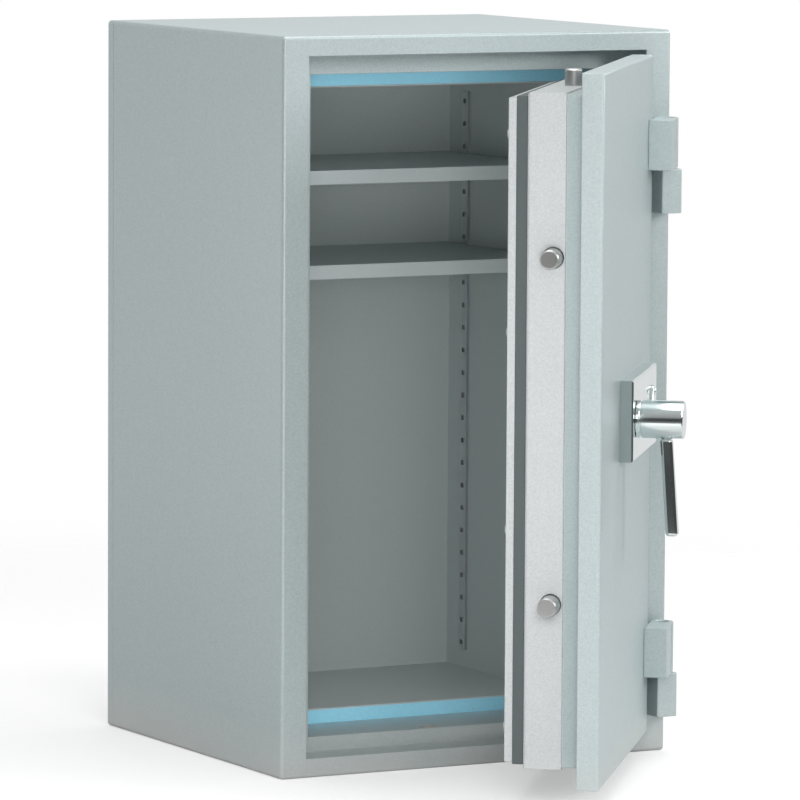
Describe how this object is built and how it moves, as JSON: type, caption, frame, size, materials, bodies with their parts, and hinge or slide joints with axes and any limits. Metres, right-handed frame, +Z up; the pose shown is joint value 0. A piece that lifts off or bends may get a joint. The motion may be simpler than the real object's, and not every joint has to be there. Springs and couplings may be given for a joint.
{
  "type": "document safe cabinet",
  "caption": "Free-standing fire-resistant document safe with a thick hinged door, round locking bolts drawn by a lever handle, stepped door frame and inner shelves",
  "frame": {"origin": "on the floor, under the middle of the body's footprint, door apart", "axes": "+X to the hinge side, -Y out of the front, +Z up"},
  "size_m": [0.4607, 0.7555, 0.77],
  "materials": {
    "silver_paint": "fine textured silver-grey powder coat",
    "inner_paint": "light grey powder coat",
    "pale_paint": "pale grey textured powder coat",
    "blue_plastic": "blue moulded seal frame, satin",
    "dark_seal": "dark grey fire seal",
    "fire_filling": "cast fire-resistant filling",
    "zinc_steel": "zinc-plated sheet",
    "machined_steel": "machined steel",
    "bolt_steel": "bright turned steel",
    "brass": "bearing brass",
    "chrome": "polished chrome plate"
  },
  "bodies": {
    "cabinet": {"outer_shell": "silver_paint", "back_panel": "silver_paint", "frame_left": "silver_paint", "frame_right": "silver_paint", "frame_head": "silver_paint", "frame_sill": "silver_paint", "seal_frame": "blue_plastic", "inner_box": "inner_paint", "body_filling": "fire_filling", "shelf_rails_left": "zinc_steel", "shelf_rails_right": "zinc_steel", "shelf_upper": "inner_paint", "shelf_lower": "inner_paint", "shelf_clips_upper": "zinc_steel", "shelf_clips_lower": "zinc_steel", "frame_hinge_lower": "silver_paint", "frame_hinge_upper": "silver_paint", "hinge_pin_lower": "machined_steel", "hinge_pin_upper": "machined_steel", "hinge_washer_lower": "brass", "hinge_washer_upper": "brass"},
    "door": {"door_leaf": "silver_paint", "leaf_back_sheet": "zinc_steel", "drill_plate": "machined_steel", "leaf_board": "fire_filling", "door_casing": "pale_paint", "door_seal": "dark_seal", "inner_cover": "pale_paint", "rear_board": "fire_filling", "side_guide_upper": "machined_steel", "side_guide_lower": "machined_steel", "end_guide_upper": "machined_steel", "end_guide_lower": "machined_steel", "door_hinge_lower": "silver_paint", "door_hinge_upper": "silver_paint", "spindle_bush": "brass", "lock_case": "zinc_steel", "key_tube": "machined_steel", "lock_plate": "chrome", "cover_rivet": "chrome"},
    "handle": {"handle_barrel": "chrome", "handle_lever": "chrome", "spindle": "machined_steel", "cam_disc": "machined_steel", "spindle_clip": "machined_steel"},
    "side_boltwork": {"side_bolt_upper": "bolt_steel", "side_bolt_lower": "bolt_steel", "side_bar": "machined_steel", "side_arm": "machined_steel"},
    "top_boltwork": {"top_bolt": "bolt_steel", "top_rod": "machined_steel"},
    "bottom_boltwork": {"bottom_bolt": "bolt_steel", "bottom_rod": "machined_steel"},
    "key_cover": {"keyhole_cover": "chrome"}
  },
  "joints": [
    {"name": "door_hinge", "type": "hinge", "parent": "cabinet", "child": "door", "pos_m": [0.2185, -0.2225, 0.1], "axis": [0, 0, 1], "range_deg": [-52.8, 127.2]},
    {"name": "handle_turn", "type": "hinge", "parent": "door", "child": "handle", "pos_m": [0.07187, -0.41816, 0.383], "axis": [-0.7965, 0.6046, 0], "range_deg": [0, 90]},
    {"name": "side_bolts_slide", "type": "slide", "parent": "door", "child": "side_boltwork", "axis": [0.6046, 0.7965, 0], "range_m": [0, 0.028]},
    {"name": "top_bolt_slide", "type": "slide", "parent": "door", "child": "top_boltwork", "axis": [0, 0, -1], "range_m": [0, 0.017]},
    {"name": "bottom_bolt_slide", "type": "slide", "parent": "door", "child": "bottom_boltwork", "axis": [0, 0, 1], "range_m": [0, 0.017]},
    {"name": "keyhole_cover_swing", "type": "hinge", "parent": "door", "child": "key_cover", "pos_m": [0.14503, -0.32178, 0.4], "axis": [0.7965, -0.6046, 0], "range_deg": [-100, 100]}
  ],
  "couplings": [
    {"joint": "side_bolts_slide", "follows": "handle_turn", "m_per_rad": 0.017825},
    {"joint": "top_bolt_slide", "follows": "handle_turn", "m_per_rad": 0.010822},
    {"joint": "bottom_bolt_slide", "follows": "handle_turn", "m_per_rad": 0.010822}
  ]
}
